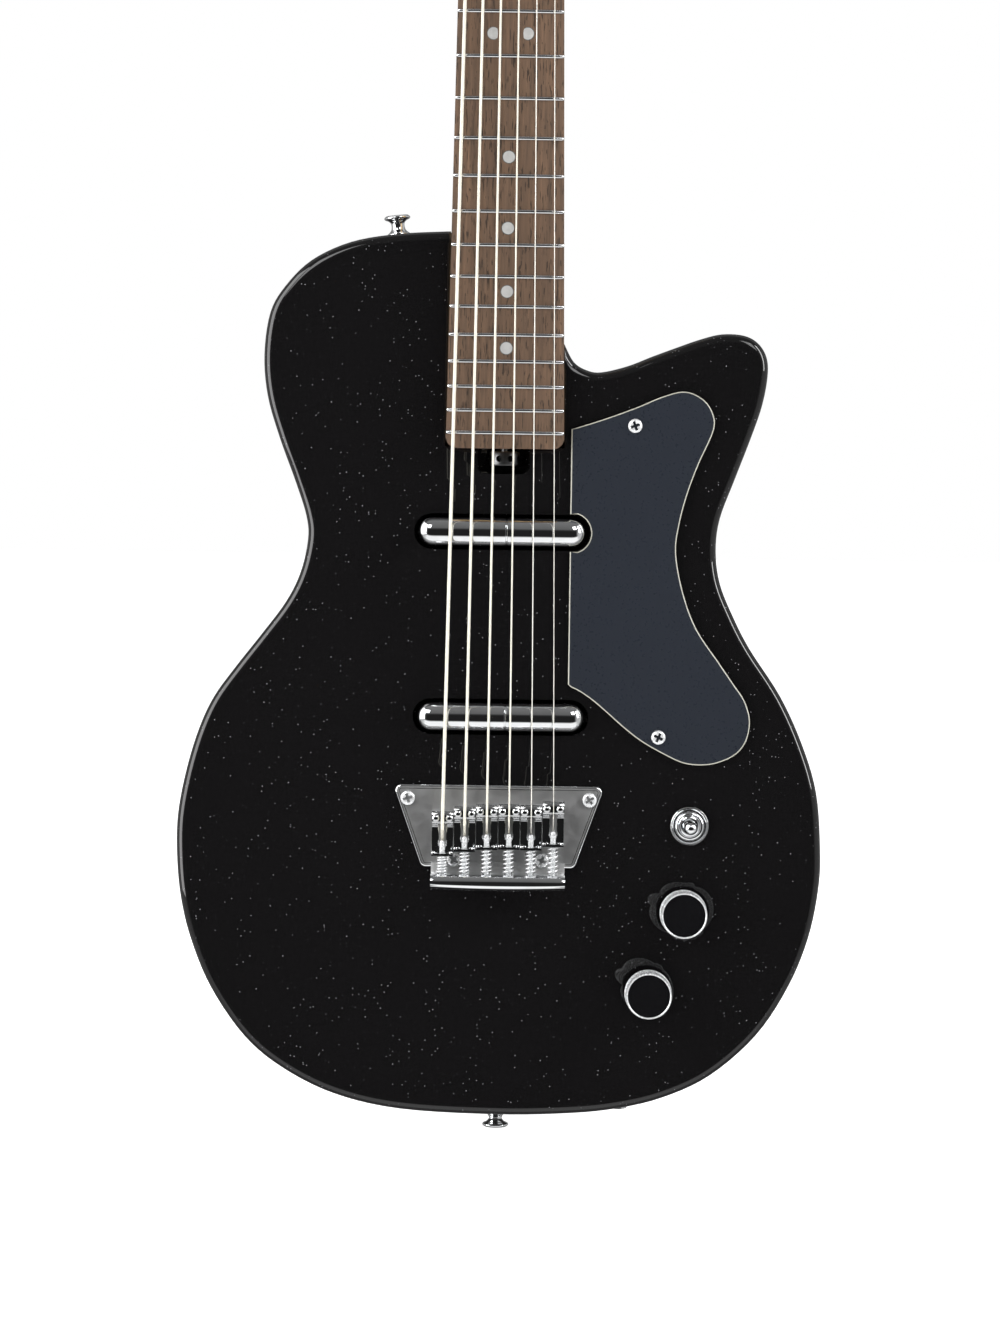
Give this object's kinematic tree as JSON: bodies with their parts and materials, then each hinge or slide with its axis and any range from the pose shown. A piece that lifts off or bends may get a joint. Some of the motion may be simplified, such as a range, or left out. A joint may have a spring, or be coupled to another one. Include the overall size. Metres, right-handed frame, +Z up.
{
  "type": "electric guitar",
  "caption": "Single-cutaway electric guitar with a hollow panelled body, bolt-on long-scale neck, open-gear tuners, tube pickups, adjustable saddles, knobs and a lever selector.",
  "frame": {"origin": "centre of the tail strap button's outer end", "axes": "+Z up the neck, +X to the right seen from the front, the front faces -Y"},
  "size_m": [0.3247, 0.0663, 1.0971],
  "materials": {
    "body_lacquer": "gloss black lacquer with fine sparkle on hardboard",
    "body_rim": "gloss black lacquer on softwood",
    "guard_laminate": "satin slate-blue laminate with a cream bevelled edge",
    "chrome_plate": "bright chrome plating",
    "maple": "satin lacquered maple",
    "dark_wood": "open-grained brown tonewood, oiled",
    "nut_metal": "brushed aluminium",
    "steel": "plain turned steel",
    "string_wire": "nickel-wound and plain steel wire",
    "button_plastic": "aged cream plastic",
    "knob_black": "gloss black with a chrome knurled band",
    "cable_jacket": "matte black wire jacket"
  },
  "bodies": {
    "guitar": {"body_frame": "body_rim", "top_panel": "body_lacquer", "back_panel": "body_lacquer", "pickguard": "guard_laminate", "pickguard_screw_upper": "chrome_plate", "pickguard_screw_lower": "chrome_plate", "neck": "maple", "fretboard": "dark_wood", "nut": "nut_metal", "truss_rod": "steel", "neck_plate": "chrome_plate", "tuner_plate_bass": "chrome_plate", "tuner_plate_treble": "chrome_plate", "bridge_plate": "chrome_plate", "bridge_screw_1": "chrome_plate", "bridge_screw_2": "chrome_plate", "string_1": "string_wire", "string_2": "string_wire", "string_3": "string_wire", "string_4": "string_wire", "string_5": "string_wire", "string_6": "string_wire", "neck_pickup": "chrome_plate", "bridge_pickup": "chrome_plate", "pickup_selector": "chrome_plate", "volume_pot": "steel", "tone_pot": "steel", "output_jack": "chrome_plate", "shoulder_strap_button": "chrome_plate", "tail_strap_button": "chrome_plate", "wiring_harness": "cable_jacket"},
    "post_1": {"tuner_post_1": "chrome_plate"},
    "button_1": {"tuner_button_1": "button_plastic"},
    "post_2": {"tuner_post_2": "chrome_plate"},
    "button_2": {"tuner_button_2": "button_plastic"},
    "post_3": {"tuner_post_3": "chrome_plate"},
    "button_3": {"tuner_button_3": "button_plastic"},
    "post_4": {"tuner_post_4": "chrome_plate"},
    "button_4": {"tuner_button_4": "button_plastic"},
    "post_5": {"tuner_post_5": "chrome_plate"},
    "button_5": {"tuner_button_5": "button_plastic"},
    "post_6": {"tuner_post_6": "chrome_plate"},
    "button_6": {"tuner_button_6": "button_plastic"},
    "saddle_1": {"saddle_1": "chrome_plate"},
    "screw_1": {"intonation_screw_1": "steel"},
    "saddle_2": {"saddle_2": "chrome_plate"},
    "screw_2": {"intonation_screw_2": "steel"},
    "saddle_3": {"saddle_3": "chrome_plate"},
    "screw_3": {"intonation_screw_3": "steel"},
    "saddle_4": {"saddle_4": "chrome_plate"},
    "screw_4": {"intonation_screw_4": "steel"},
    "saddle_5": {"saddle_5": "chrome_plate"},
    "screw_5": {"intonation_screw_5": "steel"},
    "saddle_6": {"saddle_6": "chrome_plate"},
    "screw_6": {"intonation_screw_6": "steel"},
    "volume_knob": {"volume_knob": "knob_black"},
    "tone_knob": {"tone_knob": "knob_black"},
    "lever": {"selector_lever": "chrome_plate"},
    "truss_wheel": {"truss_rod_wheel": "steel"}
  },
  "joints": [
    {"name": "tuner_button_1_turn", "type": "hinge", "parent": "guitar", "child": "button_1", "pos_m": [0, -0.00492, 0.98585], "axis": [-1, 0, 0], "continuous": true},
    {"name": "tuner_post_1_turn", "type": "hinge", "parent": "guitar", "child": "post_1", "pos_m": [-0.027, -0.02418, 0.98087], "axis": [0, -0.9848, 0.1736], "continuous": true},
    {"name": "tuner_button_2_turn", "type": "hinge", "parent": "guitar", "child": "button_2", "pos_m": [0, 0.00168, 1.02327], "axis": [-1, 0, 0], "continuous": true},
    {"name": "tuner_post_2_turn", "type": "hinge", "parent": "guitar", "child": "post_2", "pos_m": [-0.027, -0.01758, 1.01829], "axis": [0, -0.9848, 0.1736], "continuous": true},
    {"name": "tuner_button_3_turn", "type": "hinge", "parent": "guitar", "child": "button_3", "pos_m": [0, 0.00828, 1.0607], "axis": [-1, 0, 0], "continuous": true},
    {"name": "tuner_post_3_turn", "type": "hinge", "parent": "guitar", "child": "post_3", "pos_m": [-0.027, -0.01098, 1.05571], "axis": [0, -0.9848, 0.1736], "continuous": true},
    {"name": "tuner_button_4_turn", "type": "hinge", "parent": "guitar", "child": "button_4", "pos_m": [0, 0.00828, 1.0607], "axis": [1, 0, 0], "continuous": true},
    {"name": "tuner_post_4_turn", "type": "hinge", "parent": "guitar", "child": "post_4", "pos_m": [0.027, -0.01098, 1.05571], "axis": [0, -0.9848, 0.1736], "continuous": true},
    {"name": "tuner_button_5_turn", "type": "hinge", "parent": "guitar", "child": "button_5", "pos_m": [0, 0.00168, 1.02327], "axis": [1, 0, 0], "continuous": true},
    {"name": "tuner_post_5_turn", "type": "hinge", "parent": "guitar", "child": "post_5", "pos_m": [0.027, -0.01758, 1.01829], "axis": [0, -0.9848, 0.1736], "continuous": true},
    {"name": "tuner_button_6_turn", "type": "hinge", "parent": "guitar", "child": "button_6", "pos_m": [0, -0.00492, 0.98585], "axis": [1, 0, 0], "continuous": true},
    {"name": "tuner_post_6_turn", "type": "hinge", "parent": "guitar", "child": "post_6", "pos_m": [0.027, -0.02418, 0.98087], "axis": [0, -0.9848, 0.1736], "continuous": true},
    {"name": "intonation_screw_1_turn", "type": "hinge", "parent": "guitar", "child": "screw_1", "pos_m": [-0.02855, -0.04125, 0.1315], "axis": [0, 0, -1], "range_deg": [-1800, 1800]},
    {"name": "saddle_1_slide", "type": "slide", "parent": "guitar", "child": "saddle_1", "axis": [0, 0, 1], "range_m": [-0.0025, 0.0025]},
    {"name": "intonation_screw_2_turn", "type": "hinge", "parent": "guitar", "child": "screw_2", "pos_m": [-0.01745, -0.04125, 0.1315], "axis": [0, 0, -1], "range_deg": [-1800, 1800]},
    {"name": "saddle_2_slide", "type": "slide", "parent": "guitar", "child": "saddle_2", "axis": [0, 0, 1], "range_m": [-0.0025, 0.0025]},
    {"name": "intonation_screw_3_turn", "type": "hinge", "parent": "guitar", "child": "screw_3", "pos_m": [-0.00635, -0.04125, 0.1315], "axis": [0, 0, -1], "range_deg": [-1800, 1800]},
    {"name": "saddle_3_slide", "type": "slide", "parent": "guitar", "child": "saddle_3", "axis": [0, 0, 1], "range_m": [-0.0025, 0.0025]},
    {"name": "intonation_screw_4_turn", "type": "hinge", "parent": "guitar", "child": "screw_4", "pos_m": [0.00475, -0.04125, 0.1315], "axis": [0, 0, -1], "range_deg": [-1800, 1800]},
    {"name": "saddle_4_slide", "type": "slide", "parent": "guitar", "child": "saddle_4", "axis": [0, 0, 1], "range_m": [-0.0025, 0.0025]},
    {"name": "intonation_screw_5_turn", "type": "hinge", "parent": "guitar", "child": "screw_5", "pos_m": [0.01585, -0.04125, 0.1315], "axis": [0, 0, -1], "range_deg": [-1800, 1800]},
    {"name": "saddle_5_slide", "type": "slide", "parent": "guitar", "child": "saddle_5", "axis": [0, 0, 1], "range_m": [-0.0025, 0.0025]},
    {"name": "intonation_screw_6_turn", "type": "hinge", "parent": "guitar", "child": "screw_6", "pos_m": [0.02695, -0.04125, 0.1315], "axis": [0, 0, -1], "range_deg": [-1800, 1800]},
    {"name": "saddle_6_slide", "type": "slide", "parent": "guitar", "child": "saddle_6", "axis": [0, 0, 1], "range_m": [-0.0025, 0.0025]},
    {"name": "volume_knob_turn", "type": "hinge", "parent": "guitar", "child": "volume_knob", "pos_m": [0.0929, -0.03225, 0.1127], "axis": [0, -1, 0], "range_deg": [-150, 150]},
    {"name": "tone_knob_turn", "type": "hinge", "parent": "guitar", "child": "tone_knob", "pos_m": [0.0758, -0.03225, 0.0723], "axis": [0, -1, 0], "range_deg": [-150, 150]},
    {"name": "selector_lever_tilt", "type": "hinge", "parent": "guitar", "child": "lever", "pos_m": [0.0956, -0.03025, 0.1563], "axis": [1, 0, 0], "range_deg": [-14, 14]},
    {"name": "truss_wheel_turn", "type": "hinge", "parent": "guitar", "child": "truss_wheel", "pos_m": [0, -0.02595, 0.3361], "axis": [0, 0, 1], "range_deg": [-180, 180]}
  ],
  "couplings": [
    {"joint": "tuner_post_1_turn", "follows": "tuner_button_1_turn", "ratio": 0.071429},
    {"joint": "tuner_post_2_turn", "follows": "tuner_button_2_turn", "ratio": 0.071429},
    {"joint": "tuner_post_3_turn", "follows": "tuner_button_3_turn", "ratio": 0.071429},
    {"joint": "tuner_post_4_turn", "follows": "tuner_button_4_turn", "ratio": -0.071429},
    {"joint": "tuner_post_5_turn", "follows": "tuner_button_5_turn", "ratio": -0.071429},
    {"joint": "tuner_post_6_turn", "follows": "tuner_button_6_turn", "ratio": -0.071429},
    {"joint": "intonation_screw_1_turn", "follows": "saddle_1_slide", "rad_per_m": -12566},
    {"joint": "intonation_screw_2_turn", "follows": "saddle_2_slide", "rad_per_m": -12566},
    {"joint": "intonation_screw_3_turn", "follows": "saddle_3_slide", "rad_per_m": -12566},
    {"joint": "intonation_screw_4_turn", "follows": "saddle_4_slide", "rad_per_m": -12566},
    {"joint": "intonation_screw_5_turn", "follows": "saddle_5_slide", "rad_per_m": -12566},
    {"joint": "intonation_screw_6_turn", "follows": "saddle_6_slide", "rad_per_m": -12566}
  ]
}
